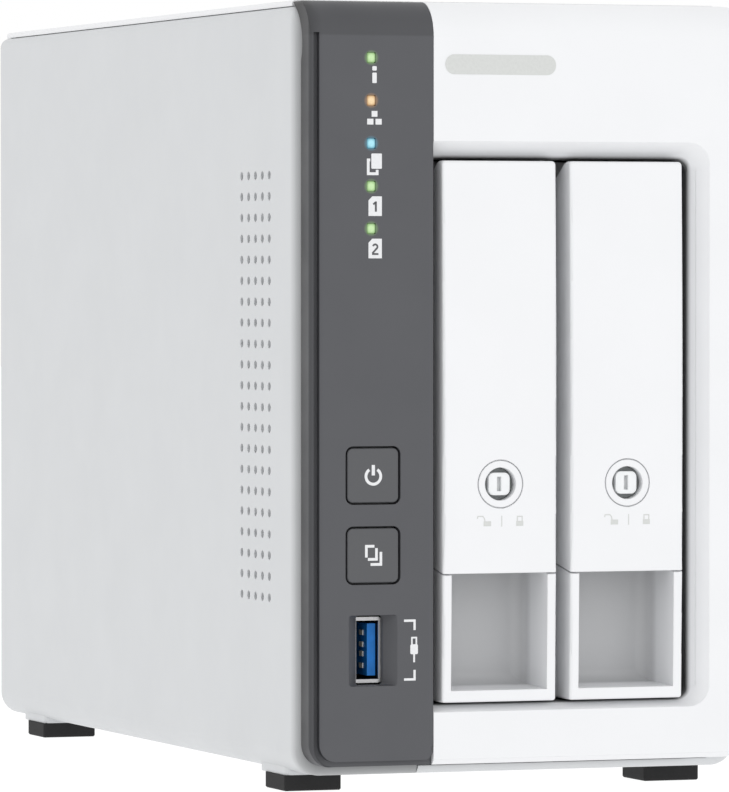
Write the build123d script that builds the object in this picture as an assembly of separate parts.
from build123d import *
import math
import os

# Two-bay network attached storage. Millimetres, +Z up, -Y is the front, +X is the user's right.
# The origin is on the surface it stands on, below the middle of its box.

# ---------------------------------------------------------------- driving dimensions
WIDTH = 100.0
DEPTH = 222.0
HEIGHT = 167.9

LEFT_X = -WIDTH / 2
RIGHT_X = WIDTH / 2
REAR_Y = DEPTH / 2
CROWN = 0.7  # how far the tray faces swell ahead of the flat front
FACE_Y = -DEPTH / 2 + CROWN
LIP = 5.6  # how far the front pieces stand ahead of the side shells
SHELL_Y = FACE_Y + LIP
FACE_BOTTOM_Z = 6.3

# Casing
WALL = 2.6
BASE_Z = 4.1
SIDE_TOP_Z = 166.5
EDGE_R = 5.2  # long lower edges
SHOULDER_R = 8.0  # the shells' upper front corners
HEAD_TOP_Z = 167.5  # top of the front pieces, a little under the top cover
HEAD_R = 7.5  # front top edge
HEAD_DEPTH = 14.0  # how far the front pieces reach back over the top
SEAM_X = LEFT_X + 26.7  # where the left side cover meets the main shell underneath
SEAM_GAP = 0.25
COVER_INSET = 1.6
COVER_RIM_Z = SIDE_TOP_Z + 0.1
COVER_THICK = 2.2
PANEL_Y = REAR_Y - 4.2  # inner face of the rear panel
PANEL_THICK = 2.0

CASE_SCREW_XS = (LEFT_X + 8.0, RIGHT_X - 8.0)
CASE_SCREW_ZS = (17.0, 158.0)
BOSS_LENGTH = 8.0  # screw bosses inside the shells
BOSS_HALF = 4.2
REBATE_END_X = RIGHT_X - 7.0  # the shadow gap under the front ends short of the corner
REBATE_Z = BASE_Z + 1.75

# Side vents
VENT_R = 0.9
VENT_PITCH = 4.5
VENT_COLUMNS = 5
VENT_ROWS = 21
VENT_Y = FACE_Y + 24.5
VENT_Z = 41.0

# Feet
FOOT_HEIGHT = 3.4
FOOT_SIZE = 12.8
FOOT_XS = (LEFT_X + 8.05, RIGHT_X - 9.4)
FOOT_YS = (FACE_Y + 25.7, FACE_Y + 198.5)
FOOT_STEM_R = 2.5
FOOT_STEM_LENGTH = 4.0
PLINTH_HALF = 6.1
PLINTH_TAIL = 4.0  # how far a plinth runs on behind its foot

# Dark control panel
STRIP_LEFT_X = LEFT_X + 0.45
STRIP_RIGHT_X = LEFT_X + 28.1
FRAME_LEFT_X = STRIP_RIGHT_X + 0.1
STRIP_WALL = 2.4
STRIP_MID_X = LEFT_X + 14.6
GROOVE_X = LEFT_X + 1.35
GROOVE_WIDTH = 1.25
GROOVE_DEPTH = 1.3
STRIP_CORNER_R = 4.7
STRIP_FACE_CORNER_R = 3.8
STRIP_FOOT_BAND = 1.1  # the groove's height along the strip's foot
BUTTON_SIZE = 11.5
BUTTON_R = 1.3
BUTTON_GAP = 0.4
BUTTON_TRAVEL = 0.8
BUTTON_SINK = 0.05
POWER_Z = 67.6
COPY_Z = 50.75
LIGHT_X = LEFT_X + 14.2
LIGHT_ZS = (155.4, 146.4, 137.4, 128.4, 119.5)
LIGHT_WIDTH = 1.8
LIGHT_HEIGHT = 2.1

# USB socket sizes: the metal shell of a type A receptacle, standing on its side
USB_Z = 30.7
USB_SHELL_WIDTH = 5.7
USB_SHELL_HEIGHT = 13.1
USB_SHELL_WALL = 0.35
USB_DEPTH = 13.0
USB_LIP = 0.4  # how far the shell's mouth flares out
USB_LIP_THICK = 0.4
USB_SINK = 2.4  # depth of the scoop around the front socket
USB_HOLE_WIDTH = 6.0
USB_HOLE_HEIGHT = 14.6
USB_MOUTH_Y = FACE_Y + 3.65
TONGUE_THICK = 1.84
TONGUE_OFFSET = 1.3  # from the socket's middle

# Drive bays
BAY_LEFT_X = LEFT_X + 28.0
BAY_RIGHT_X = LEFT_X + 87.4
BAY_BOTTOM_Z = 19.0
BAY_TOP_Z = 134.25
BEVEL_RIGHT = 3.9
BEVEL_TOP = 3.75
BEVEL_BOTTOM = 1.6
BEVEL_DEPTH = 4.0
TRAY_XS = (LEFT_X + 43.05, LEFT_X + 72.05)
TRAY_WIDTH = 25.8
TRAY_BOTTOM_Z = 19.35
TRAY_TOP_Z = 133.9
TRAY_FRONT_DEPTH = 17.5
TRAY_BACK_WALL = 2.6
DOOR_BOTTOM_Z = 46.7
DOOR_SEAM = 0.35
DOOR_SKIN = 2.2
DOOR_SIDE = 1.3  # thickness of the door's side walls
DOOR_SIDE_DEPTH = 8.5
DOOR_SIDE_CUT = 4.4  # how far the side walls' upper rear corners are cut down
DOOR_CUT_ANGLE = 10.5
CORE_HALF = 11.3  # half the width of the tray's box between the door's side walls
PIVOT_Y = FACE_Y + 3.4
PIVOT_Z = 116.0
PIVOT_NOSE_R = 1.9
PIVOT_ARM_HALF = 1.5
PIVOT_LUG_HALF = 1.1
EAR_X = 8.0
KNUCKLE_X = 5.6
PIN_R = 1.0
PIN_LENGTH = 21.0
RECESS_DEPTH = 14.5
RECESS_BOTTOM_Z = 21.85
RECESS_LEFT_RIM = 1.95
RECESS_RIGHT_RIM = 2.1
LOCK_Z = 65.5
LOCK_R = 3.5
LOCK_RING_R = 5.05
LOCK_BOSS = 4.8
KEY_SLOT_WIDTH = 0.9
KEY_SLOT_HEIGHT = 3.0
LOCK_BARREL = 7.0  # the door's lock housing reaches this far behind the face

# 3.5-inch drives, standing on edge
DRIVE_LENGTH = 147.0
DRIVE_HEIGHT = 101.6
DRIVE_THICK = 26.1
DRIVE_FRONT_Y = FACE_Y + TRAY_FRONT_DEPTH + 1.2
DRIVE_REAR_Y = DRIVE_FRONT_Y + DRIVE_LENGTH
DRIVE_MID_Z = (TRAY_BOTTOM_Z + TRAY_TOP_Z) / 2
DRIVE_BOTTOM_Z = DRIVE_MID_Z - DRIVE_HEIGHT / 2
DRIVE_TOP_Z = DRIVE_MID_Z + DRIVE_HEIGHT / 2
DRIVE_SCREW_YS = (DRIVE_FRONT_Y + 29.0, DRIVE_FRONT_Y + 130.0)
DRIVE_SKIN = 1.6  # the circuit board's recess on the drive's left side
LID_THICK = 0.6
SOCKET_Z = 46.0
SOCKET_LENGTH = 37.0
SOCKET_X = -7.0  # from the tray's middle, towards the drive's circuit board

# Sheet cage around both bays
CAGE_SHEET = 1.0
CAGE_FRONT_Y = FACE_Y + 12.4
CAGE_REAR_Y = DRIVE_REAR_Y + 0.4
CAGE_LEFT_X = BAY_LEFT_X - 0.1
CAGE_RIGHT_X = BAY_RIGHT_X + 0.3
CAGE_BOTTOM_Z = BAY_BOTTOM_Z - 0.2
CAGE_TOP_Z = BAY_TOP_Z + 0.2
RIB_X = 4.6  # guide ribs, from a tray's middle
RIB_HEIGHT = 1.2
RUNNER_HALF = 3.6
RAIL_SETBACK = 0.9

# Circuit boards
BOARD_THICK = 1.6
BOARD_X = LEFT_X + 22.0  # component side of the main board, facing the left cover
BACKPLANE_Y = DRIVE_REAR_Y + 3.4
FRONT_BOARD_Y = FACE_Y + 12.5
STANDOFF_YS = (CAGE_FRONT_Y + 5.5, CAGE_REAR_Y - 6.0)
STANDOFF_ZS = (23.0, 129.0)
SWITCH_DEPTH = 3.2
SWITCH_TIP = 0.7
CELL_Y = -48.0
CELL_Z = 40.0
SINK_Y = -8.0
SINK_Z = 92.0

# Fan
FAN_SIZE = 70.0
FAN_DEPTH = 15.0
FAN_X = LEFT_X + 61.0
FAN_Z = 96.0
FAN_BORE_R = 33.5
FAN_HUB_R = 13.0
FAN_BLADES = 7
FAN_SCREW_PITCH = 60.0
FAN_REAR_Y = PANEL_Y
FAN_FRONT_Y = FAN_REAR_Y - FAN_DEPTH
BEARING_R = 3.2
BEARING_LENGTH = 8.0
SHAFT_R = 1.5

# Rear sockets, in one column on the main board's edge
PORT_X = BOARD_X - 7.4
PORT_FACE_Y = PANEL_Y + PANEL_THICK - 0.2
REAR_USB_X = PORT_X + 3.4
LAN_ZS = (110.0, 89.0)
REAR_USB_ZS = (68.0, 49.0)
JACK_Z = 27.0
RESET_Z = 129.0
LOCK_SLOT_Z = 149.5

os.makedirs("parts", exist_ok=True)
nodes = {}


# ---------------------------------------------------------------- helpers
def block(x0, x1, y0, y1, z0, z1):
    """A box between two corners."""
    middle = Pos((x0 + x1) / 2, (y0 + y1) / 2, (z0 + z1) / 2)
    return middle * Box(abs(x1 - x0), abs(y1 - y0), abs(z1 - z0))


def bar_x(x0, x1, y, z, radius):
    """A round bar along X."""
    return Pos((x0 + x1) / 2, y, z) * Rot(0, 90, 0) * Cylinder(radius, abs(x1 - x0))


def bar_y(x, y0, y1, z, radius):
    """A round bar along Y."""
    return Pos(x, (y0 + y1) / 2, z) * Rot(90, 0, 0) * Cylinder(radius, abs(y1 - y0))


def bar_z(x, y, z0, z1, radius):
    """A round bar along Z."""
    return Pos(x, y, (z0 + z1) / 2) * Cylinder(radius, abs(z1 - z0))


def prism_y(outline, y0, y1):
    """An XZ outline swept from y0 to y1."""
    plane = Plane((0, y0, 0), x_dir=(1, 0, 0), z_dir=(0, -1, 0))
    return extrude(plane * outline, -(y1 - y0))


def prism_x(outline, x0, x1):
    """A YZ outline swept from x0 to x1."""
    plane = Plane((x0, 0, 0), x_dir=(0, 1, 0), z_dir=(1, 0, 0))
    return extrude(plane * outline, x1 - x0)


def prism_z(outline, z0, z1):
    """An XY outline swept from z0 to z1."""
    return extrude(Plane((0, 0, z0)) * outline, z1 - z0)


def rect(a0, a1, b0, b1):
    """A flat rectangle between two corners of an outline."""
    return Pos((a0 + a1) / 2, (b0 + b1) / 2) * Rectangle(a1 - a0, b1 - b0)


def rounded(outline, a, b, radius):
    """Round the outline's corner nearest to the point (a, b)."""
    corner = min(outline.vertices(), key=lambda v: math.hypot(v.X - a, v.Y - b))
    return fillet(corner, radius)


def soft_rect(a0, a1, b0, b1, radius):
    """A flat rectangle with four equal round corners."""
    return Pos((a0 + a1) / 2, (b0 + b1) / 2) * RectangleRounded(a1 - a0, b1 - b0, radius)


def pan_screw(x, y, z, direction, length, shank_r=1.5, head_r=2.8):
    """A cross-recess pan-head screw along Y; direction is +1 when the head faces +Y."""
    head_depth = 1.6
    head = bar_y(x, y, y + direction * head_depth, z, head_r)
    head = fillet(head.edges().sort_by(Axis.Y)[-1 if direction > 0 else 0], 0.7)
    shank = bar_y(x, y, y - direction * length, z, shank_r)
    tip = y + direction * head_depth
    slot_a = block(x - 1.6, x + 1.6, tip - direction * 0.8, tip + direction, z - 0.3, z + 0.3)
    slot_b = block(x - 0.3, x + 0.3, tip - direction * 0.8, tip + direction, z - 1.6, z + 1.6)
    return head + shank - slot_a - slot_b


def group(solids):
    """Several separate solids in one node."""
    return Compound(children=list(solids))


# ---------------------------------------------------------------- casing
def half_shell(reach):
    """A side wall at +X with its part of the base, out to `reach` from the wall's face."""
    outer = rect(RIGHT_X - reach, RIGHT_X, BASE_Z, SIDE_TOP_Z)
    outer = rounded(outer, RIGHT_X, BASE_Z, EDGE_R)
    inner = rect(RIGHT_X - reach, RIGHT_X - WALL, BASE_Z + WALL, SIDE_TOP_Z)
    inner = rounded(inner, RIGHT_X - WALL, BASE_Z + WALL, EDGE_R - WALL)
    shell = prism_y(outer - inner, SHELL_Y, REAR_Y)
    shell -= upper_front_corner(RIGHT_X - WALL - 1, RIGHT_X + 1)
    front_edge = [
        edge
        for edge in shell.edges()
        if on_outer_skin(edge) and edge.center().Y < SHELL_Y + SHOULDER_R
    ]
    shell = fillet(front_edge, WALL - 0.3)
    screw_x = CASE_SCREW_XS[1]
    for z in CASE_SCREW_ZS:
        x0, x1 = screw_x - BOSS_HALF, RIGHT_X - WALL + 0.1
        shell += block(x0, x1, PANEL_Y - BOSS_LENGTH, PANEL_Y, z - BOSS_HALF, z + BOSS_HALF)
        shell -= bar_y(screw_x, PANEL_Y - BOSS_LENGTH - 1, REAR_Y, z, 1.55)
    return shell


def on_outer_skin(edge):
    """True for edges of the front rim that lie on the shell's outer surface."""
    middle = edge @ 0.5
    on_side = abs(middle.X - RIGHT_X) < 0.01 and middle.Z > BASE_Z + EDGE_R - 0.1
    across_top = abs(middle.Z - SIDE_TOP_Z) < 0.01
    flat_front = abs(middle.Y - SHELL_Y) < 0.01
    centre_x = RIGHT_X - EDGE_R
    centre_z = BASE_Z + EDGE_R
    spread = math.hypot(middle.X - centre_x, middle.Z - centre_z)
    on_corner = flat_front and abs(spread - EDGE_R) < 0.01
    on_base = flat_front and abs(middle.Z - BASE_Z) < 0.01
    return (on_side and not across_top) or on_corner or on_base


def upper_front_corner(x0, x1):
    """What is cut away where a shell's upper front corner is rounded."""
    centre_y = SHELL_Y + SHOULDER_R
    centre_z = SIDE_TOP_Z - SHOULDER_R
    outside = block(x0, x1, SHELL_Y - 1, centre_y, centre_z, SIDE_TOP_Z + 1)
    return outside - bar_x(x0, x1, centre_y, centre_z, SHOULDER_R)


def foot_plinth(x, y):
    """The low plinth over a foot, before its stem hole is drilled."""
    y0 = y - FOOT_SIZE / 2
    y1 = y + FOOT_SIZE / 2 + PLINTH_TAIL
    top_z = BASE_Z + WALL + 2.5
    plinth = block(x - PLINTH_HALF, x + PLINTH_HALF, y0, y1, FOOT_HEIGHT, top_z)
    return fillet(plinth.edges().filter_by(Axis.Z), 1.2)


def with_foot_plinths(shell, x):
    """Add plinths to a shell and drill the holes that take the feet's stems."""
    for y in FOOT_YS:
        shell += foot_plinth(x, y)
        shell -= bar_z(x, y, FOOT_HEIGHT - 1, BASE_Z + WALL + 4, FOOT_STEM_R + 0.05)
    return shell


def make_left_side_cover():
    cover = half_shell(SEAM_X - SEAM_GAP / 2 - LEFT_X)
    cover = mirror(cover, about=Plane.YZ)
    vents = []
    for column in range(VENT_COLUMNS):
        for row in range(VENT_ROWS):
            y = VENT_Y + column * VENT_PITCH
            z = VENT_Z + row * VENT_PITCH
            vents.append(bar_x(LEFT_X - 1, LEFT_X + WALL + 1, y, z, VENT_R))
    cover -= vents
    return with_foot_plinths(cover, FOOT_XS[0])


def make_main_shell():
    shell = half_shell(RIGHT_X - SEAM_X - SEAM_GAP / 2)
    shell -= block(SEAM_X, REBATE_END_X, SHELL_Y - 1, SHELL_Y + 3, REBATE_Z, BASE_Z + WALL + 1)
    return with_foot_plinths(shell, FOOT_XS[1])


def make_top_cover():
    front_y = FACE_Y + HEAD_DEPTH + 0.3
    half = WIDTH / 2 - COVER_INSET
    rim = rect(-half, half, COVER_RIM_Z, HEIGHT)
    rim = rounded(rim, half, HEIGHT, 0.8)
    rim = rounded(rim, -half, HEIGHT, 0.8)
    inner = WIDTH / 2 - WALL - 0.3
    deck = rect(-inner, inner, HEIGHT - COVER_THICK, HEIGHT - 0.5)
    skirts = Sketch()
    for side in (-1, 1):
        outer_x = side * inner
        inner_x = side * (inner - 1.6)
        low, high = min(outer_x, inner_x), max(outer_x, inner_x)
        skirts += rect(low, high, HEIGHT - 10.0, HEIGHT - COVER_THICK + 0.1)
    cover = prism_y(rim + deck, front_y, REAR_Y)
    return cover + prism_y(skirts, SHELL_Y + SHOULDER_R + 4, PANEL_Y - BOSS_LENGTH - 1)


def front_profile():
    """Side view of a front piece: round over the top, chamfered at the bottom."""
    outline = rect(FACE_Y, FACE_Y + HEAD_DEPTH, FACE_BOTTOM_Z, HEAD_TOP_Z)
    outline = rounded(outline, FACE_Y, HEAD_TOP_Z, HEAD_R)
    corner = outline.vertices().sort_by(Axis.Y)[:2].sort_by(Axis.X)[0]
    return chamfer(corner, STRIP_FOOT_BAND)


def front_hollow(x0, x1, round_left, round_right):
    """The hollow behind a front piece, following its outer surface."""
    top_z = HEAD_TOP_Z - STRIP_WALL
    outline = rect(x0, x1, FACE_BOTTOM_Z + STRIP_WALL, top_z)
    if round_left:
        outline = rounded(outline, x0, FACE_BOTTOM_Z + STRIP_WALL, EDGE_R - WALL)
    if round_right:
        outline = rounded(outline, x1, FACE_BOTTOM_Z + STRIP_WALL, EDGE_R - WALL)
    back_y = FACE_Y + HEAD_DEPTH + 1
    profile = rect(FACE_Y + STRIP_WALL, back_y, FACE_BOTTOM_Z, top_z)
    profile = rounded(profile, FACE_Y + STRIP_WALL, top_z, HEAD_R - STRIP_WALL)
    return prism_y(outline, FACE_Y, back_y) & prism_x(profile, x0, x1)


def shell_clearance():
    """The room that the side shells and the drive cage need behind the front pieces."""
    corner_gap = 1.0
    centre_y = SHELL_Y + SHOULDER_R
    centre_z = SIDE_TOP_Z - SHOULDER_R
    back_y = FACE_Y + HEAD_DEPTH + 1
    inner_x = WIDTH / 2 - WALL - 0.4
    inner_z = BASE_Z + WALL + 0.4
    tongue = rect(-inner_x, inner_x, inner_z, HEIGHT)
    tongue = rounded(tongue, -inner_x, inner_z, EDGE_R - WALL - 0.2)
    tongue = rounded(tongue, inner_x, inner_z, EDGE_R - WALL - 0.2)
    around = rect(LEFT_X - 1, RIGHT_X + 1, 0, centre_z) - tongue
    room = prism_y(around, SHELL_Y - 0.2, back_y)
    room += block(LEFT_X - 1, RIGHT_X + 1, CAGE_FRONT_Y - 0.4, back_y, 0, centre_z)
    for side in (-1, 1):
        x0, x1 = side * inner_x, side * (inner_x + 4)
        room += block(min(x0, x1), max(x0, x1), centre_y, back_y, centre_z - 1, SIDE_TOP_Z + 0.3)
        room += bar_x(x0, x1, centre_y, centre_z, SHOULDER_R + corner_gap)
    return room


def make_control_panel():
    outline = rect(STRIP_LEFT_X, STRIP_RIGHT_X, FACE_BOTTOM_Z, HEAD_TOP_Z)
    outline = rounded(outline, STRIP_LEFT_X, FACE_BOTTOM_Z, STRIP_CORNER_R)
    outline = rounded(outline, STRIP_LEFT_X, HEAD_TOP_Z, 1.2)
    panel = prism_y(outline, FACE_Y, FACE_Y + HEAD_DEPTH)
    panel &= prism_x(front_profile(), STRIP_LEFT_X, STRIP_RIGHT_X)
    panel -= front_hollow(STRIP_LEFT_X + STRIP_WALL, STRIP_RIGHT_X - 1.4, True, False)
    panel -= shell_clearance()
    plan = rect(STRIP_LEFT_X, STRIP_RIGHT_X, FACE_Y, FACE_Y + HEAD_DEPTH)
    panel &= prism_z(rounded(plan, STRIP_LEFT_X, FACE_Y, 0.8), 0, HEIGHT)
    panel -= strip_groove()
    for z in (POWER_Z, COPY_Z):
        size = BUTTON_SIZE + 2 * BUTTON_GAP
        hole = Pos(STRIP_MID_X, z) * RectangleRounded(size, size, BUTTON_R + BUTTON_GAP)
        panel -= prism_y(hole, FACE_Y - 1, FACE_Y + 4)
    for z in LIGHT_ZS:
        hole = Pos(LIGHT_X, z) * Rectangle(LIGHT_WIDTH + 0.1, LIGHT_HEIGHT + 0.1)
        panel -= prism_y(hole, FACE_Y - 1, FACE_Y + 4)
    wall_back_y = USB_MOUTH_Y - 0.05
    panel += prism_y(usb_outline(3.0, 1.6), FACE_Y + STRIP_WALL - 0.2, wall_back_y)
    panel -= usb_scoop()
    return panel - prism_y(usb_outline(0, 0), FACE_Y, wall_back_y + 1)


def strip_groove():
    """The groove that runs down the strip's left edge and along its foot."""
    low = FACE_BOTTOM_Z
    face_low = low + STRIP_FOOT_BAND
    left, right = GROOVE_X + GROOVE_WIDTH, STRIP_RIGHT_X - 0.3
    outer = rect(GROOVE_X, STRIP_RIGHT_X + 5, low, HEAD_TOP_Z - HEAD_R + 0.6)
    outer = rounded(outer, GROOVE_X, low, STRIP_CORNER_R - 0.5)
    inner = rect(left, right, face_low, HEIGHT)
    inner = rounded(inner, left, face_low, STRIP_FACE_CORNER_R)
    inner = rounded(inner, right, face_low, 1.6)
    right_side = rect(right, right + 6, low + 4.0, HEIGHT)
    return prism_y(outer - inner - right_side, FACE_Y - 1, FACE_Y + GROOVE_DEPTH)


def usb_outline(margin_x, margin_z):
    """The front socket's hole, grown by a margin on every side."""
    width = USB_HOLE_WIDTH + 2 * margin_x
    height = USB_HOLE_HEIGHT + 2 * margin_z
    return Pos(STRIP_MID_X, USB_Z) * RectangleRounded(width, height, 0.6)


def usb_scoop():
    """The hollow around the front socket: its two long sides slope in."""
    mouth = Plane((0, FACE_Y - 0.01, 0), x_dir=(1, 0, 0), z_dir=(0, -1, 0))
    floor = Plane((0, FACE_Y + USB_SINK, 0), x_dir=(1, 0, 0), z_dir=(0, -1, 0))
    return loft([mouth * usb_outline(2.45, 0.15), floor * usb_outline(0.05, 0.05)])


def make_front_frame():
    outline = rect(FRAME_LEFT_X, RIGHT_X, FACE_BOTTOM_Z, HEAD_TOP_Z)
    outline = rounded(outline, RIGHT_X, FACE_BOTTOM_Z, EDGE_R)
    outline = rounded(outline, RIGHT_X, HEAD_TOP_Z, 3.5)
    frame = prism_y(outline, FACE_Y, FACE_Y + HEAD_DEPTH)
    frame &= prism_x(front_profile(), FRAME_LEFT_X, RIGHT_X)
    plan = rect(FRAME_LEFT_X, RIGHT_X, FACE_Y, FACE_Y + HEAD_DEPTH)
    frame &= prism_z(rounded(plan, RIGHT_X, FACE_Y, 1.5), 0, HEIGHT)
    frame -= front_hollow(FRAME_LEFT_X + 1.6, RIGHT_X - STRIP_WALL, False, True)
    frame -= shell_clearance()
    wall = 1.6
    throat = rect(FRAME_LEFT_X, BAY_RIGHT_X + wall, BAY_BOTTOM_Z - wall, BAY_TOP_Z + wall)
    frame += prism_y(throat, FACE_Y + 1, FACE_Y + 12)
    mouth = bay_outline(BEVEL_RIGHT, BEVEL_BOTTOM, BEVEL_TOP, 4.6)
    waist = bay_outline(0, 0, 0, 3.0)
    mouth_plane = Plane((0, FACE_Y - 0.01, 0), x_dir=(1, 0, 0), z_dir=(0, -1, 0))
    waist_plane = Plane((0, FACE_Y + BEVEL_DEPTH, 0), x_dir=(1, 0, 0), z_dir=(0, -1, 0))
    frame -= loft([mouth_plane * mouth, waist_plane * waist])
    frame -= prism_y(waist, FACE_Y + BEVEL_DEPTH - 0.01, FACE_Y + HEAD_DEPTH + 2)
    return frame


def bay_outline(right, bottom, top, radius):
    """The opening that both bays share; its left end runs past the control panel's edge."""
    beyond = 12.0
    outline = rect(BAY_LEFT_X - beyond, BAY_RIGHT_X + right, BAY_BOTTOM_Z - bottom, BAY_TOP_Z + top)
    outline = rounded(outline, BAY_RIGHT_X + right, BAY_BOTTOM_Z - bottom, radius)
    return rounded(outline, BAY_RIGHT_X + right, BAY_TOP_Z + top, radius)


def make_rear_panel():
    side = WIDTH / 2 - WALL - 0.3
    low = BASE_Z + WALL + 0.2
    outline = rect(-side, side, low, HEIGHT - COVER_THICK - 0.3)
    outline = rounded(outline, -side, low, EDGE_R - WALL)
    outline = rounded(outline, side, low, EDGE_R - WALL)
    panel = prism_y(outline, PANEL_Y, PANEL_Y + PANEL_THICK)
    panel -= fan_grille_cut()
    for x, z in fan_screw_places():
        panel -= bar_y(x, PANEL_Y - 1, PANEL_Y + PANEL_THICK + 1, z, 2.1)
    for z in LAN_ZS:
        panel -= block(BOARD_X - 13.9, BOARD_X + 0.3, PANEL_Y - 1, REAR_Y, z - 8.3, z + 8.3)
    for z in REAR_USB_ZS:
        x0, x1 = REAR_USB_X - USB_SHELL_WIDTH / 2 - 0.3, REAR_USB_X + USB_SHELL_WIDTH / 2 + 0.3
        half_h = USB_SHELL_HEIGHT / 2 + 0.3
        panel -= block(x0, x1, PANEL_Y - 1, REAR_Y, z - half_h, z + half_h)
    panel -= block(PORT_X - 4.8, PORT_X + 4.8, PANEL_Y - 1, REAR_Y, JACK_Z - 5.8, JACK_Z + 5.8)
    panel -= bar_y(PORT_X, PANEL_Y - 1, REAR_Y, RESET_Z, 1.6)
    lock_slot = soft_rect(PORT_X - 1.6, PORT_X + 1.6, LOCK_SLOT_Z - 3.5, LOCK_SLOT_Z + 3.5, 1.5)
    panel -= prism_y(lock_slot, PANEL_Y - 1, REAR_Y)
    for x, z in case_screw_places():
        panel -= bar_y(x, PANEL_Y - 1, REAR_Y, z, 1.75)
    return panel


def fan_grille_cut():
    """Ring slots in front of the fan, crossed by four bars."""
    slots = Sketch()
    ring_pitch = 4.6
    slot_width = 3.2
    for index in range(6):
        outer_r = 33.0 - index * ring_pitch
        slots += Pos(FAN_X, FAN_Z) * (Circle(outer_r) - Circle(outer_r - slot_width))
    for turn in (45, 135):
        slots -= Pos(FAN_X, FAN_Z) * Rot(0, 0, turn) * Rectangle(90, 2.4)
    return prism_y(slots, PANEL_Y - 1, PANEL_Y + PANEL_THICK + 1)


def fan_screw_places():
    half = FAN_SCREW_PITCH / 2
    return [(FAN_X + sx * half, FAN_Z + sz * half) for sx in (-1, 1) for sz in (-1, 1)]


def case_screw_places():
    return [(x, z) for x in CASE_SCREW_XS for z in CASE_SCREW_ZS]


def make_foot(x, y):
    half = FOOT_SIZE / 2
    pad = block(x - half, x + half, y - half, y + half, 0, FOOT_HEIGHT)
    pad = fillet(pad.edges().filter_by(Axis.Z), 0.5)
    pad = chamfer(pad.faces().sort_by(Axis.Z)[0].edges(), 0.3)
    return pad + bar_z(x, y, FOOT_HEIGHT - 0.1, FOOT_HEIGHT + FOOT_STEM_LENGTH, FOOT_STEM_R)


def make_case_screws():
    face_y = PANEL_Y + PANEL_THICK
    return group(pan_screw(x, face_y, z, 1, 5.0) for x, z in case_screw_places())


# ---------------------------------------------------------------- inner structure
def make_cage_walls():
    """The upright sheets beside and between the trays, each with two large cut-outs."""
    divider_x = (TRAY_XS[0] + TRAY_XS[1] - CAGE_SHEET) / 2
    windows = Sketch()
    for y in (CAGE_FRONT_Y + 42.0, CAGE_FRONT_Y + 112.0):
        windows += Pos(y, DRIVE_MID_Z) * Rectangle(56.0, 80.0)
    windows = prism_x(windows, CAGE_LEFT_X - 5, CAGE_RIGHT_X + 5)
    walls = []
    for x in (CAGE_LEFT_X - CAGE_SHEET, divider_x, CAGE_RIGHT_X):
        wall = block(x, x + CAGE_SHEET, CAGE_FRONT_Y, CAGE_REAR_Y, CAGE_BOTTOM_Z, CAGE_TOP_Z)
        walls.append(wall - windows)
    return group(walls)


def make_cage_decks():
    """The cage's floor and roof, with the ribs that keep each tray's runners straight."""
    x0, x1 = CAGE_LEFT_X - CAGE_SHEET, CAGE_RIGHT_X + CAGE_SHEET
    pieces = []
    for z0 in (CAGE_BOTTOM_Z - CAGE_SHEET, CAGE_TOP_Z):
        pieces.append(block(x0, x1, CAGE_FRONT_Y, CAGE_REAR_Y, z0, z0 + CAGE_SHEET))
    for tray_x in TRAY_XS:
        for side in (-1, 1):
            x = tray_x + side * RIB_X
            for z0 in (CAGE_BOTTOM_Z, CAGE_TOP_Z - RIB_HEIGHT):
                y0, y1 = CAGE_FRONT_Y + 8.0, CAGE_REAR_Y - 6.0
                pieces.append(block(x - 0.5, x + 0.5, y0, y1, z0, z0 + RIB_HEIGHT))
    return group(pieces)


def make_cage_brackets():
    """Folded sheet feet that carry the cage on the base."""
    pieces = []
    base_top = BASE_Z + WALL
    hat_z = CAGE_BOTTOM_Z - CAGE_SHEET
    for x in (CAGE_LEFT_X + 8.0, CAGE_RIGHT_X - 8.0):
        for y in (CAGE_FRONT_Y + 36.0, CAGE_REAR_Y - 12.0):
            web = block(x - 0.75, x + 0.75, y - 8, y + 8, base_top, hat_z)
            sole = block(x - 0.75, x + 6.0, y - 8, y + 8, base_top, base_top + 1.5)
            hat = block(x - 0.75, x + 6.0, y - 8, y + 8, hat_z - 1.5, hat_z)
            pieces.append(web + sole + hat)
    return group(pieces)


def make_main_board():
    x0, x1 = BOARD_X, BOARD_X + BOARD_THICK
    outline = rect(FRONT_BOARD_Y + 6.0, PANEL_Y - 1.0, 15.0, 150.0)
    outline = rounded(outline, FRONT_BOARD_Y + 6.0, 15.0, 3.0)
    outline = rounded(outline, FRONT_BOARD_Y + 6.0, 150.0, 3.0)
    board = prism_x(outline, x0, x1)
    for y, z in standoff_places():
        board -= bar_x(x0 - 1, x1 + 1, y, z, 1.7)
    return board


def standoff_places():
    return [(y, z) for y in STANDOFF_YS for z in STANDOFF_ZS]


def make_board_standoffs():
    x0, x1 = BOARD_X + BOARD_THICK, CAGE_LEFT_X - CAGE_SHEET
    return group(bar_x(x0, x1, y, z, 3.0) for y, z in standoff_places())


def make_board_screws():
    pieces = []
    for y, z in standoff_places():
        head = bar_x(BOARD_X - 1.6, BOARD_X, y, z, 2.8)
        pieces.append(fillet(head.edges().sort_by(Axis.X)[0], 0.7))
    return group(pieces)


def make_heat_sink():
    """A finned block on the processor."""
    y, z = SINK_Y, SINK_Z
    half = 20.0
    base_x = BOARD_X - 1.4
    sink = block(base_x - 2.5, base_x, y - half, y + half, z - half, z + half)
    fins = 10
    pitch = 2 * half / fins
    for index in range(fins):
        fin_z = z - half + (index + 0.5) * pitch
        sink += block(base_x - 13.0, base_x - 2.0, y - half, y + half, fin_z - 0.6, fin_z + 0.6)
    return sink


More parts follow.
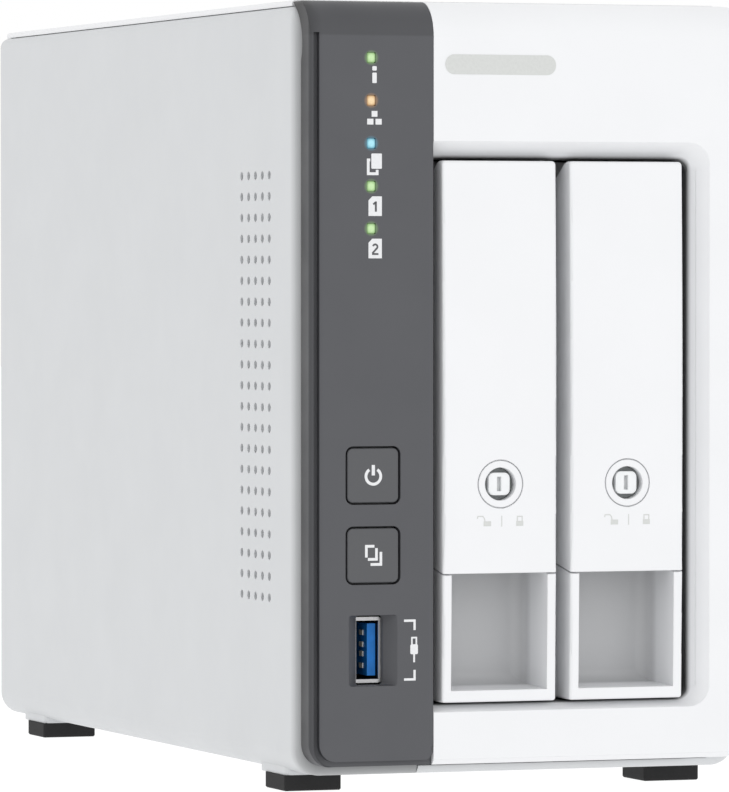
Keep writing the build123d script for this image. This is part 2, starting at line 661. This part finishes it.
def make_board_chips():
    """Processor package, memory, switching chips and inductors, soldered on the main board."""
    package = 10.0
    y0, y1, z0, z1 = SINK_Y - package, SINK_Y + package, SINK_Z - package, SINK_Z + package
    pieces = [block(BOARD_X - 1.4, BOARD_X, y0, y1, z0, z1)]
    for z in (SINK_Z - 18.0, SINK_Z - 32.0):
        for y in (SINK_Y - 6.0, SINK_Y + 8.0):
            pieces.append(block(BOARD_X - 1.1, BOARD_X, y - 5, y + 5, z - 4, z + 4))
    for y in (32.0, 46.0):
        pieces.append(block(BOARD_X - 1.0, BOARD_X, y - 5, y + 5, 108.0, 118.0))
    for index in range(4):
        z = 24.0 + index * 11.0
        body = block(BOARD_X - 4.0, BOARD_X, 66.0, 73.0, z, z + 7.0)
        pieces.append(chamfer(body.edges().filter_by(Axis.X), 1.0))
    return pieces


def make_capacitors():
    places = [(30.0 + 9.0 * (i % 2), 34.0 + 11.0 * (i // 2)) for i in range(6)]
    pieces = []
    for y, z in places:
        can = bar_x(BOARD_X - 8.0, BOARD_X, y, z, 3.1)
        pieces.append(fillet(can.edges().sort_by(Axis.X)[0], 0.5))
    return pieces


def make_coin_cell():
    y, z = CELL_Y, CELL_Z
    cell = bar_x(BOARD_X - 4.2, BOARD_X - 1.0, y, z, 10.0)
    return fillet(cell.edges().sort_by(Axis.X)[0], 0.6)


def make_cell_holder():
    y, z = CELL_Y, CELL_Z
    holder = block(BOARD_X - 3.4, BOARD_X, y - 11.2, y + 11.2, z - 11.2, z + 11.2)
    return holder - bar_x(BOARD_X - 5, BOARD_X - 1.0, y, z, 10.15)


def make_backplane_board():
    y0, y1 = BACKPLANE_Y, BACKPLANE_Y + BOARD_THICK
    outline = rect(CAGE_LEFT_X - 3.0, CAGE_RIGHT_X, CAGE_BOTTOM_Z + 2.0, CAGE_TOP_Z - 2.0)
    board = prism_y(outline, y0, y1)
    for tray_x in TRAY_XS:
        window = soft_rect(tray_x - 9.0, tray_x + 9.0, 72.0, 126.0, 3.0)
        board -= prism_y(window, y0 - 1, y1 + 1)
    return board


def make_backplane_slot():
    """The connector on the main board that takes the backplane's edge."""
    x0, x1 = BOARD_X + BOARD_THICK, CAGE_LEFT_X + 1.5
    y_mid = BACKPLANE_Y + BOARD_THICK / 2
    body = block(x0, x1, y_mid - 3.5, y_mid + 3.5, 34.0, 100.0)
    gap = BOARD_THICK / 2 + 0.05
    return body - block(CAGE_LEFT_X - 3.1, x1 + 1, y_mid - gap, y_mid + gap, 0, 200)


def make_drive_sockets():
    """One data and power socket for each bay, on the backplane."""
    pieces = []
    for tray_x in TRAY_XS:
        x = tray_x + SOCKET_X
        z0, z1 = SOCKET_Z - SOCKET_LENGTH / 2, SOCKET_Z + SOCKET_LENGTH / 2
        body = block(x - 2.6, x + 2.6, BACKPLANE_Y - 6.0, BACKPLANE_Y, z0, z1)
        slot = block(x - 1.0, x + 1.0, BACKPLANE_Y - 7, BACKPLANE_Y - 1.2, z0 + 1.6, z1 - 1.6)
        pieces.append(body - slot)
    return group(pieces)


def make_front_board():
    """The narrow board behind the control panel."""
    y0, y1 = FRONT_BOARD_Y, FRONT_BOARD_Y + BOARD_THICK
    outline = rect(LEFT_X + 6.0, LEFT_X + 25.0, 40.0, 160.0)
    return prism_y(outline, y0, y1)


def make_board_link():
    """The header that joins the front board to the main board."""
    y0 = FRONT_BOARD_Y + BOARD_THICK
    return block(BOARD_X - 5.5, BOARD_X, y0, y0 + 10.0, 96.0, 112.0)


def make_front_switches():
    """The switches that the two front buttons press."""
    pieces = []
    for z in (POWER_Z, COPY_Z):
        x = STRIP_MID_X
        body = block(x - 3, x + 3, FRONT_BOARD_Y - SWITCH_DEPTH, FRONT_BOARD_Y, z - 3, z + 3)
        tip_y = FRONT_BOARD_Y - SWITCH_DEPTH - SWITCH_TIP
        body += bar_y(x, tip_y, tip_y + SWITCH_TIP + 0.1, z, 1.7)
        pieces.append(body)
    return pieces


# ---------------------------------------------------------------- control strip pieces
def make_button(z):
    """A square cap with a flange behind the strip and a stem to its switch."""
    cap_outline = Pos(STRIP_MID_X, z) * RectangleRounded(BUTTON_SIZE, BUTTON_SIZE, BUTTON_R)
    cap = prism_y(cap_outline, FACE_Y + BUTTON_SINK, FACE_Y + 3.0)
    cap = fillet(cap.faces().sort_by(Axis.Y)[0].edges(), 0.35)
    flange_size = BUTTON_SIZE + 2.4
    flange_y = FACE_Y + STRIP_WALL + 0.3
    flange = Pos(STRIP_MID_X, z) * RectangleRounded(flange_size, flange_size, BUTTON_R + 1)
    stem_end = FRONT_BOARD_Y - SWITCH_DEPTH - SWITCH_TIP - BUTTON_TRAVEL - 0.1
    stem = bar_y(STRIP_MID_X, FACE_Y + 2.5, stem_end, z, 2.0)
    return cap + prism_y(flange, flange_y, flange_y + 1.0) + stem


def make_light(z):
    """A clear light pipe from the front board to the strip's face."""
    x0, x1 = LIGHT_X - LIGHT_WIDTH / 2, LIGHT_X + LIGHT_WIDTH / 2
    z0, z1 = z - LIGHT_HEIGHT / 2, z + LIGHT_HEIGHT / 2
    return block(x0, x1, FACE_Y + BUTTON_SINK, FRONT_BOARD_Y, z0, z1)


def usb_shell(x, z, front_y, back_y):
    """The folded metal shell of a type A socket, closed at its back; the mouth is at front_y."""
    half_w = USB_SHELL_WIDTH / 2
    half_h = USB_SHELL_HEIGHT / 2
    outer = soft_rect(x - half_w, x + half_w, z - half_h, z + half_h, 0.5)
    low, high = min(front_y, back_y), max(front_y, back_y)
    wall = USB_SHELL_WALL
    inner = rect(x - half_w + wall, x + half_w - wall, z - half_h + wall, z + half_h - wall)
    step = 1.0 if back_y > front_y else -1.0
    mouth = front_y - step
    shell = prism_y(outer, low, high)
    return shell - prism_y(inner, min(mouth, back_y - step), max(mouth, back_y - step))


def usb_tongue(x, z, front_y, back_y, side):
    """The plastic tongue that carries the contacts; side tells which wall it lies near."""
    step = 1.0 if back_y > front_y else -1.0
    x0 = x + side * TONGUE_OFFSET - TONGUE_THICK / 2
    y0, y1 = front_y + step * 1.2, back_y - step * 1.0
    return block(x0, x0 + TONGUE_THICK, min(y0, y1), max(y0, y1), z - 5.5, z + 5.5)


def usb_lip(x, z, front_y):
    """The flange that the front socket's mouth flares out into."""
    half_w = USB_SHELL_WIDTH / 2 + USB_LIP
    half_h = USB_SHELL_HEIGHT / 2 + USB_LIP
    wall = USB_SHELL_WALL
    opening_w = USB_SHELL_WIDTH / 2 - wall
    opening_h = USB_SHELL_HEIGHT / 2 - wall
    outline = soft_rect(x - half_w, x + half_w, z - half_h, z + half_h, 1.0)
    outline -= rect(x - opening_w, x + opening_w, z - opening_h, z + opening_h)
    return prism_y(outline, front_y, front_y + USB_LIP_THICK)


def usb_contacts(x, z, front_y, back_y, side):
    """Four contact leaves on the tongue's open side."""
    step = 1.0 if back_y > front_y else -1.0
    tongue_x = x + side * (TONGUE_OFFSET - TONGUE_THICK / 2)
    pieces = []
    for place in (-3.5, -1.0, 1.0, 3.5):
        y0, y1 = front_y + step * 3.4, front_y + step * 5.4
        x1 = tongue_x - side * 0.28
        low, high = min(tongue_x, x1), max(tongue_x, x1)
        leaf = block(low, high, min(y0, y1), max(y0, y1), z + place - 0.55, z + place + 0.55)
        pieces.append(leaf)
    return pieces


# ---------------------------------------------------------------- rear sockets
def make_lan_socket(z):
    """A shielded eight-way socket lying on its side on the main board."""
    x0, x1 = BOARD_X - 13.6, BOARD_X
    y0, y1 = PORT_FACE_Y - 21.0, PORT_FACE_Y + 0.9
    body = block(x0, x1, y0, y1, z - 8.0, z + 8.0)
    cavity = block(x0 + 2.4, x1 - 3.0, y1 - 13.0, y1 + 1, z - 5.9, z + 5.9)
    tab = block(x0 + 0.9, x0 + 2.5, y1 - 13.0, y1 + 1, z - 3.0, z + 3.0)
    catch = block(x0 + 0.9, x0 + 1.7, y1 - 13.0, y1 + 1, z - 1.6, z + 1.6)
    return body - cavity - tab - catch


def make_lan_contacts():
    pieces = []
    for z in LAN_ZS:
        x1 = BOARD_X - 3.0
        y1 = PORT_FACE_Y + 0.9
        for index in range(8):
            z0 = z + (index - 3.5) * 1.02 - 0.2
            wire = block(x1 - 1.3, x1 - 0.9, y1 - 12.9, y1 - 3.0, z0, z0 + 0.4)
            pieces.append(wire + block(x1 - 1.0, x1, y1 - 12.9, y1 - 12.3, z0, z0 + 0.4))
    return group(pieces)


def make_power_jack():
    """Barrel jack: a block with a round well and a centre pin."""
    x0, x1 = BOARD_X - 12.0, BOARD_X
    y1 = PORT_FACE_Y + 0.6
    y0 = y1 - 13.0
    x = PORT_X
    body = block(x - 4.5, x + 4.5, y0, y1, JACK_Z - 5.5, JACK_Z + 5.5)
    body += block(x0 + 3, x1, y0, y1 - 3.5, JACK_Z - 4.5, JACK_Z + 4.5)
    body -= bar_y(x, y1 - 10.0, y1 + 1, JACK_Z, 3.2)
    return body


def make_jack_pin():
    y1 = PORT_FACE_Y + 0.6
    pin = bar_y(PORT_X, y1 - 10.0, y1 - 1.0, JACK_Z, 1.25)
    return fillet(pin.edges().sort_by(Axis.Y)[-1], 0.5)


def make_reset_button():
    """A short pin behind a small hole, pressed inwards."""
    tip = bar_y(PORT_X, PANEL_Y - 3.0, PANEL_Y + 1.0, RESET_Z, 1.4)
    collar = bar_y(PORT_X, PANEL_Y - 3.0, PANEL_Y - 1.8, RESET_Z, 2.2)
    return tip + collar


def make_reset_switch():
    x0 = PORT_X - 3.0
    return block(x0, BOARD_X, PANEL_Y - 9.0, PANEL_Y - 4.2, RESET_Z - 3, RESET_Z + 3)


# ---------------------------------------------------------------- fan
def make_fan_frame():
    centre = Pos(FAN_X, FAN_Z)
    outline = centre * RectangleRounded(FAN_SIZE, FAN_SIZE, 4.0)
    frame = prism_y(outline - centre * Circle(FAN_BORE_R), FAN_FRONT_Y, FAN_REAR_Y)
    corners = Sketch()
    for x, z in fan_screw_places():
        corners += Pos(x, z) * Circle(7.2)
    gap = outline - centre * Circle(FAN_BORE_R + 1.2) - corners
    frame -= prism_y(gap, FAN_FRONT_Y + 3, FAN_REAR_Y - 3)
    struts = Sketch() + centre * Circle(FAN_HUB_R + 0.5)
    for turn in (15, 105, 195, 285):
        arm = Pos((FAN_BORE_R + FAN_HUB_R) / 2, 0) * Rectangle(FAN_BORE_R - FAN_HUB_R + 2, 2.6)
        struts += centre * Rot(0, 0, turn) * arm
    frame += prism_y(struts, FAN_REAR_Y - 2.4, FAN_REAR_Y)
    y0, y1 = FAN_REAR_Y - 2.0 - BEARING_LENGTH, FAN_REAR_Y - 2.0
    frame += bar_y(FAN_X, y0, y1, FAN_Z, BEARING_R + 1.2)
    frame -= bar_y(FAN_X, y0 - 1, y1, FAN_Z, BEARING_R)
    for x, z in fan_screw_places():
        frame -= bar_y(x, FAN_FRONT_Y - 1, FAN_REAR_Y + 1, z, 2.15)
    return frame


def make_fan_bearing():
    y0, y1 = FAN_REAR_Y - 2.0 - BEARING_LENGTH, FAN_REAR_Y - 2.0
    sleeve = bar_y(FAN_X, y0, y1, FAN_Z, BEARING_R)
    return sleeve - bar_y(FAN_X, y0 - 1, y1 + 1, FAN_Z, SHAFT_R + 0.05)


def make_fan_shaft():
    return bar_y(FAN_X, FAN_FRONT_Y + 2.0, FAN_REAR_Y - 2.5, FAN_Z, SHAFT_R)


def make_fan_rotor():
    """A hub cup over the bearing, with slanted blades."""
    front_y, back_y = FAN_FRONT_Y + 1.0, FAN_REAR_Y - 3.2
    reach = FAN_BORE_R - 0.8 - FAN_HUB_R
    rotor = bar_y(FAN_X, front_y, back_y, FAN_Z, FAN_HUB_R)
    for index in range(FAN_BLADES):
        blade = Pos(FAN_HUB_R - 1.0 + reach / 2, 0, 0) * Rot(52, 0, 0) * Box(reach + 2.0, 1.1, 13.0)
        blade = Rot(0, index * 360 / FAN_BLADES, 0) * blade
        rotor += Pos(FAN_X, (FAN_FRONT_Y + back_y) / 2, FAN_Z) * blade
    rotor &= bar_y(FAN_X, front_y - 0.4, back_y, FAN_Z, FAN_BORE_R - 0.8)
    rotor -= bar_y(FAN_X, front_y + 1.6, back_y + 1, FAN_Z, FAN_HUB_R - 1.6)
    rotor += bar_y(FAN_X, front_y + 1.0, front_y + 3.2, FAN_Z, SHAFT_R + 1.4)
    return rotor - bar_y(FAN_X, front_y + 1.0, back_y, FAN_Z, SHAFT_R)


def make_fan_screws():
    face_y = PANEL_Y + PANEL_THICK
    return group(pan_screw(x, face_y, z, 1, 8.0, 2.0, 3.6) for x, z in fan_screw_places())


# ---------------------------------------------------------------- trays
def tray_face_outline():
    """Side view of the front's outer skin: flat at both ends, gently crowned between."""
    middle_z = (TRAY_BOTTOM_Z + TRAY_TOP_Z) / 2
    crown = ThreePointArc((FACE_Y, TRAY_BOTTOM_Z), (FACE_Y - CROWN, middle_z), (FACE_Y, TRAY_TOP_Z))
    back = Polyline(
        (FACE_Y, TRAY_TOP_Z),
        (FACE_Y + 40, TRAY_TOP_Z),
        (FACE_Y + 40, TRAY_BOTTOM_Z),
        (FACE_Y, TRAY_BOTTOM_Z),
    )
    return make_face([crown, back])


def crowned(solid, x):
    """Trim a solid to the crowned front surface."""
    return solid & prism_x(tray_face_outline(), x - 20, x + 20)


def lower_cut(offset):
    """Everything below the slanted joint between door and lower frame."""
    rise = math.tan(math.radians(DOOR_CUT_ANGLE))
    y0, y1 = FACE_Y - 5, FACE_Y + 30
    z = DOOR_BOTTOM_Z + offset
    outline = Polyline(
        (y0, z + rise * (y0 - FACE_Y)),
        (y1, z + rise * (y1 - FACE_Y)),
        (y1, 0),
        (y0, 0),
        close=True,
    )
    return prism_x(make_face(outline), -100, 100)


def make_tray_front(x):
    """Lower frame with the finger recess, and the box behind the door."""
    half = TRAY_WIDTH / 2
    back_y = FACE_Y + TRAY_FRONT_DEPTH
    wall_y = back_y - TRAY_BACK_WALL
    body = block(x - half, x + half, FACE_Y - CROWN, back_y, TRAY_BOTTOM_Z, TRAY_TOP_Z)
    body = crowned(body, x)
    skin_room = block(x - half - 1, x + half + 1, FACE_Y - 5, FACE_Y + DOOR_SKIN + 0.4, 0, HEIGHT)
    side_room = block(x - half - 1, x + half + 1, FACE_Y - 5, wall_y, 0, HEIGHT)
    side_room -= block(x - CORE_HALF, x + CORE_HALF, FACE_Y - 6, back_y, 0, HEIGHT)
    body -= skin_room + side_room - lower_cut(-DOOR_SEAM)
    cavity_top_z = PIVOT_Z - 5.0
    inner = CORE_HALF - 1.3
    body -= block(x - inner, x + inner, FACE_Y, FACE_Y + 10.5, DOOR_BOTTOM_Z + 1.5, cavity_top_z)
    body -= block(x - half - 1, x + half + 1, FACE_Y - 5, wall_y, cavity_top_z, HEIGHT)
    body = fillet(body.edges().filter_by(lambda edge: on_frame_rim(edge, x, half)), 0.6)
    body -= finger_recess(x)
    for side in (-1, 1):
        body += pivot_lug(x + side * EAR_X, wall_y + 0.1)
    return body - bar_x(x - 12, x + 12, PIVOT_Y, PIVOT_Z, PIN_R + 0.02)


def on_frame_rim(edge, x, half):
    """True for the lower frame's outer front edges and its two bottom corners."""
    middle = edge @ 0.5
    on_side = abs(abs(middle.X - x) - half) < 0.01
    at_bottom = abs(middle.Z - TRAY_BOTTOM_Z) < 0.01
    at_front = middle.Y < FACE_Y + 0.01 and middle.Z < DOOR_BOTTOM_Z - 1
    return (on_side and (at_front or at_bottom)) or (at_bottom and at_front)


def finger_recess(x):
    """The pocket under the door, with round back corners and a floor that rises a little."""
    left = x - TRAY_WIDTH / 2 + RECESS_LEFT_RIM
    right = x + TRAY_WIDTH / 2 - RECESS_RIGHT_RIM
    back_y = FACE_Y + RECESS_DEPTH
    top_z = DOOR_BOTTOM_Z + 7.3
    plan = rect(left, right, FACE_Y - 5, back_y)
    plan = rounded(plan, left, back_y, 3.0)
    plan = rounded(plan, right, back_y, 3.0)
    side_view = Polyline(
        (FACE_Y - 5, RECESS_BOTTOM_Z),
        (FACE_Y + 1, RECESS_BOTTOM_Z),
        (back_y, RECESS_BOTTOM_Z + 0.5),
        (back_y, top_z),
        (FACE_Y - 5, top_z),
        close=True,
    )
    side_view = rounded(make_face(side_view), back_y, RECESS_BOTTOM_Z, 2.5)
    return prism_z(plan, RECESS_BOTTOM_Z - 1, top_z + 1) & prism_x(side_view, x - 20, x + 20)


def pivot_lug(x, end_y):
    """A lug with a round nose about the door's pivot and an arm that reaches to end_y."""
    x0, x1 = x - PIVOT_LUG_HALF, x + PIVOT_LUG_HALF
    z0, z1 = PIVOT_Z - PIVOT_ARM_HALF, PIVOT_Z + PIVOT_ARM_HALF
    nose = bar_x(x0, x1, PIVOT_Y, PIVOT_Z, PIVOT_NOSE_R)
    return nose + block(x0, x1, min(PIVOT_Y, end_y), max(PIVOT_Y, end_y), z0, z1)


def make_door(x):
    """The crowned cover over the tray's upper part; its lower end swings out."""
    half = TRAY_WIDTH / 2
    inner_y = FACE_Y + DOOR_SKIN
    side_y = FACE_Y + DOOR_SIDE_DEPTH
    door = block(x - half, x + half, FACE_Y - CROWN, side_y, TRAY_BOTTOM_Z, TRAY_TOP_Z)
    door = crowned(door, x) - lower_cut(0)
    long_edges = door.edges().filter_by(lambda edge: on_door_rim(edge, x, half))
    door = fillet(long_edges, 0.6)
    top_edge = door.edges().filter_by(Axis.X).group_by(Axis.Z)[-1].sort_by(Axis.Y)[0]
    door = fillet(top_edge, 0.8)
    inner = half - DOOR_SIDE
    door -= block(x - inner, x + inner, inner_y, side_y + 1, 0, HEIGHT)
    upper_rear = Polyline(
        (inner_y + 0.2, TRAY_TOP_Z + 0.1),
        (side_y + 1, TRAY_TOP_Z + 0.1),
        (side_y + 1, TRAY_TOP_Z - DOOR_SIDE_CUT),
        close=True,
    )
    door -= prism_x(make_face(upper_rear), x - half - 1, x + half + 1)
    for side in (-1, 1):
        pocket_x = x + side * EAR_X
        door -= bar_x(pocket_x - 1.5, pocket_x + 1.5, PIVOT_Y, PIVOT_Z, PIVOT_NOSE_R + 0.3)
        door += pivot_lug(x + side * KNUCKLE_X, inner_y - 0.1)
    door -= bar_x(x - KNUCKLE_X - 2, x + KNUCKLE_X + 2, PIVOT_Y, PIVOT_Z, PIN_R + 0.06)
    door += bar_y(x, inner_y - 0.1, FACE_Y + LOCK_BARREL, LOCK_Z, LOCK_R + 1.6)
    door -= bar_y(x, FACE_Y - 5, FACE_Y + 20, LOCK_Z, LOCK_R)
    ring = Circle(LOCK_RING_R + 0.12) - Circle(LOCK_RING_R - 0.12)
    return door - prism_y(Pos(x, LOCK_Z) * ring, FACE_Y - 5, FACE_Y - CROWN + 0.6)


def on_door_rim(edge, x, half):
    """True for the two long front edges of a door centred on x."""
    middle = edge @ 0.5
    on_side = abs(abs(middle.X - x) - half) < 0.01
    is_long = abs((edge @ 0).Z - (edge @ 1).Z) > 20
    return on_side and is_long and middle.Y < FACE_Y + 0.01


def make_hinge_pin(x):
    pin = bar_x(x - PIN_LENGTH / 2, x + PIN_LENGTH / 2, PIVOT_Y, PIVOT_Z, PIN_R)
    return chamfer(pin.edges(), 0.2)


def make_lock_core(x):
    """A round plug with a raised rounded square, slotted for a flat key."""
    front_y = FACE_Y + 0.1
    plug = bar_y(x, FACE_Y + 1.4, FACE_Y + LOCK_BARREL + 0.6, LOCK_Z, LOCK_R - 0.08)
    boss = Pos(x, LOCK_Z) * RectangleRounded(LOCK_BOSS, LOCK_BOSS, 1.2)
    plug += prism_y(boss, front_y, FACE_Y + 1.5)
    key_slot = Pos(x, LOCK_Z) * Rectangle(KEY_SLOT_WIDTH, KEY_SLOT_HEIGHT)
    return plug - prism_y(key_slot, front_y - 1, front_y + 1.0)


def make_lock_cam(x):
    """The tab that the lock core turns behind the door."""
    y0 = FACE_Y + LOCK_BARREL + 0.6
    y1 = y0 + 1.0
    outline = Pos(x, LOCK_Z) * Circle(2.6)
    outline += Pos(x, LOCK_Z - 3.8) * Rectangle(3.2, 7.6)
    return prism_y(outline, y0, y1)


def make_tray_rails(x):
    """The two rails that carry the drive, tied to the tray's front."""
    half = TRAY_WIDTH / 2 - 0.2
    y0 = FACE_Y + TRAY_FRONT_DEPTH
    y1 = DRIVE_REAR_Y - 2.0
    low_z, high_z = TRAY_BOTTOM_Z + RAIL_SETBACK, TRAY_TOP_Z - RAIL_SETBACK
    rails = block(x - half, x + half, y0, y1, low_z, DRIVE_BOTTOM_Z)
    rails += block(x - half, x + half, y0, y1, DRIVE_TOP_Z, high_z)
    for z in (TRAY_BOTTOM_Z + 0.1, high_z - 0.1):
        rails += block(x - RUNNER_HALF, x + RUNNER_HALF, y0 + 6, y1, z, z + RAIL_SETBACK)
    rails -= rail_pockets(x, DRIVE_BOTTOM_Z - 3.4)
    rails -= rail_pockets(x, DRIVE_TOP_Z - 0.1)
    rails += block(x - half, x + half, y0, y0 + 1.0, low_z, high_z)
    return rails - block(x - 8, x + 8, y0 - 1, y0 + 2, 50, 104)


def rail_pockets(x, z):
    """Lightening pockets along a rail, open on the drive's side."""
    room = Part()
    for index in range(5):
        y = FACE_Y + TRAY_FRONT_DEPTH + 22.0 * (index + 1)
        room += block(x - 9, x + 9, y, y + 14, z, z + 3.5)
    return room


def make_drive(x):
    """Drive casting with a recessed lid seat and the connector's tongue."""
    half = DRIVE_THICK / 2
    x0, x1 = x - half + DRIVE_SKIN, x + half - LID_THICK
    rear = DRIVE_REAR_Y + 1
    body = block(x0, x1, DRIVE_FRONT_Y, DRIVE_REAR_Y, DRIVE_BOTTOM_Z, DRIVE_TOP_Z)
    body = fillet(body.edges().filter_by(Axis.X), 1.5)
    reach = SOCKET_LENGTH / 2 + 2.5
    body -= block(x - half, x - half + 5.2, rear - 13, rear, SOCKET_Z - reach, SOCKET_Z + reach)
    mid = x + SOCKET_X
    reach = SOCKET_LENGTH / 2 + 1.5
    body -= block(mid - 3.4, mid + 3.4, rear - 7, rear, SOCKET_Z - reach, SOCKET_Z + reach)
    reach = SOCKET_LENGTH / 2 - 2.1
    body += block(mid - 0.6, mid + 0.6, rear - 7.5, rear - 1.6, SOCKET_Z - reach, SOCKET_Z + reach)
    for y in DRIVE_SCREW_YS:
        body -= bar_z(x, y, DRIVE_BOTTOM_Z - 1, DRIVE_BOTTOM_Z + 5, 1.6)
        body -= bar_z(x, y, DRIVE_TOP_Z - 5, DRIVE_TOP_Z + 1, 1.6)
    return body


def make_drive_lid(x):
    """Thin lid with a raised round area over the platters."""
    x0 = x + DRIVE_THICK / 2 - LID_THICK
    y0, y1 = DRIVE_FRONT_Y + 1, DRIVE_REAR_Y - 1
    lid = prism_x(soft_rect(y0, y1, DRIVE_BOTTOM_Z + 1, DRIVE_TOP_Z - 1, 4.0), x0, x0 + 0.35)
    return lid + bar_x(x0 + 0.3, x0 + LID_THICK, DRIVE_FRONT_Y + 52.0, DRIVE_MID_Z, 46.0)


def make_drive_board(x):
    x1 = x - DRIVE_THICK / 2 + DRIVE_SKIN
    y0, y1 = DRIVE_FRONT_Y + 50, DRIVE_REAR_Y - 13
    return prism_x(rect(y0, y1, DRIVE_BOTTOM_Z + 3, DRIVE_TOP_Z - 3), x1 - 1.0, x1)


def make_drive_screws(x):
    """Flat-head screws through both rails into the drive's edges."""
    low_z, high_z = TRAY_BOTTOM_Z + 3.0, TRAY_TOP_Z - 3.0
    pieces = []
    for y in DRIVE_SCREW_YS:
        low_head = bar_z(x, y, low_z - 1.4, low_z, 2.9)
        high_head = bar_z(x, y, high_z, high_z + 1.4, 2.9)
        pieces.append(low_head + bar_z(x, y, low_z - 0.1, DRIVE_BOTTOM_Z + 4, 1.5))
        pieces.append(high_head + bar_z(x, y, DRIVE_TOP_Z - 4, high_z + 0.1, 1.5))
    return group(pieces)


def drill_screw_holes(rails, x):
    """Counterbored holes for the four drive screws."""
    low_z, high_z = TRAY_BOTTOM_Z + 3.0, TRAY_TOP_Z - 3.0
    for y in DRIVE_SCREW_YS:
        rails -= bar_z(x, y, 0, low_z, 3.0)
        rails -= bar_z(x, y, low_z - 1, DRIVE_BOTTOM_Z + 1, 1.6)
        rails -= bar_z(x, y, high_z, 200, 3.0)
        rails -= bar_z(x, y, DRIVE_TOP_Z - 1, high_z + 1, 1.6)
    return rails


# ---------------------------------------------------------------- assembly
nodes["left_side_cover"] = make_left_side_cover()
nodes["main_shell"] = make_main_shell()
nodes["top_cover"] = make_top_cover()
nodes["control_panel"] = make_control_panel()
nodes["front_frame"] = make_front_frame()
nodes["rear_panel"] = make_rear_panel()
nodes["case_screws"] = make_case_screws()
nodes["feet"] = group(make_foot(x, y) for x in FOOT_XS for y in FOOT_YS)

nodes["cage_walls"] = make_cage_walls()
nodes["cage_decks"] = make_cage_decks()
nodes["cage_brackets"] = make_cage_brackets()
nodes["main_board"] = make_main_board()
nodes["board_standoffs"] = make_board_standoffs()
nodes["board_screws"] = make_board_screws()
nodes["heat_sink"] = make_heat_sink()
nodes["board_components"] = group(make_board_chips() + make_capacitors())
nodes["coin_cell"] = make_coin_cell()
nodes["cell_holder"] = make_cell_holder()
nodes["backplane_board"] = make_backplane_board()
nodes["backplane_slot"] = make_backplane_slot()
nodes["drive_sockets"] = make_drive_sockets()
nodes["front_board"] = make_front_board()
nodes["board_link"] = make_board_link()
nodes["push_switches"] = group(make_front_switches() + [make_reset_switch()])

nodes["power_button"] = make_button(POWER_Z)
nodes["copy_button"] = make_button(COPY_Z)
nodes["light_windows"] = group(make_light(z) for z in LIGHT_ZS)
front_back_y = USB_MOUTH_Y + USB_DEPTH
front_shell = usb_shell(STRIP_MID_X, USB_Z, USB_MOUTH_Y, front_back_y)
nodes["front_usb_shell"] = front_shell + usb_lip(STRIP_MID_X, USB_Z, USB_MOUTH_Y)
nodes["front_usb_tongue"] = usb_tongue(STRIP_MID_X, USB_Z, USB_MOUTH_Y, front_back_y, 1)
nodes["front_usb_contacts"] = group(usb_contacts(STRIP_MID_X, USB_Z, USB_MOUTH_Y, front_back_y, 1))

mouth_y = PORT_FACE_Y + 0.6
back_y = mouth_y - USB_DEPTH
nodes["rear_usb_shells"] = group(usb_shell(REAR_USB_X, z, mouth_y, back_y) for z in REAR_USB_ZS)
nodes["rear_usb_tongues"] = group(
    usb_tongue(REAR_USB_X, z, mouth_y, back_y, 1) for z in REAR_USB_ZS
)
nodes["lan_sockets"] = group(make_lan_socket(z) for z in LAN_ZS)
nodes["lan_contacts"] = make_lan_contacts()
nodes["power_jack"] = make_power_jack()
nodes["jack_pin"] = make_jack_pin()
nodes["reset_button"] = make_reset_button()

nodes["fan_frame"] = make_fan_frame()
nodes["fan_bearing"] = make_fan_bearing()
nodes["fan_shaft"] = make_fan_shaft()
nodes["fan_rotor"] = make_fan_rotor()
nodes["fan_screws"] = make_fan_screws()

for number, tray_x in enumerate(TRAY_XS, start=1):
    nodes[f"tray_{number}_front"] = make_tray_front(tray_x)
    nodes[f"tray_{number}_rails"] = drill_screw_holes(make_tray_rails(tray_x), tray_x)
    nodes[f"tray_{number}_door"] = make_door(tray_x)
    nodes[f"tray_{number}_hinge_pin"] = make_hinge_pin(tray_x)
    nodes[f"tray_{number}_lock"] = make_lock_core(tray_x) + make_lock_cam(tray_x)
    nodes[f"hard_drive_{number}"] = make_drive(tray_x)
    nodes[f"drive_lid_{number}"] = make_drive_lid(tray_x)
    nodes[f"drive_board_{number}"] = make_drive_board(tray_x)
    nodes[f"drive_screws_{number}"] = make_drive_screws(tray_x)

for name, shape in nodes.items():
    export_step(shape, f"parts/{name}.step")
print(len(nodes), "nodes")
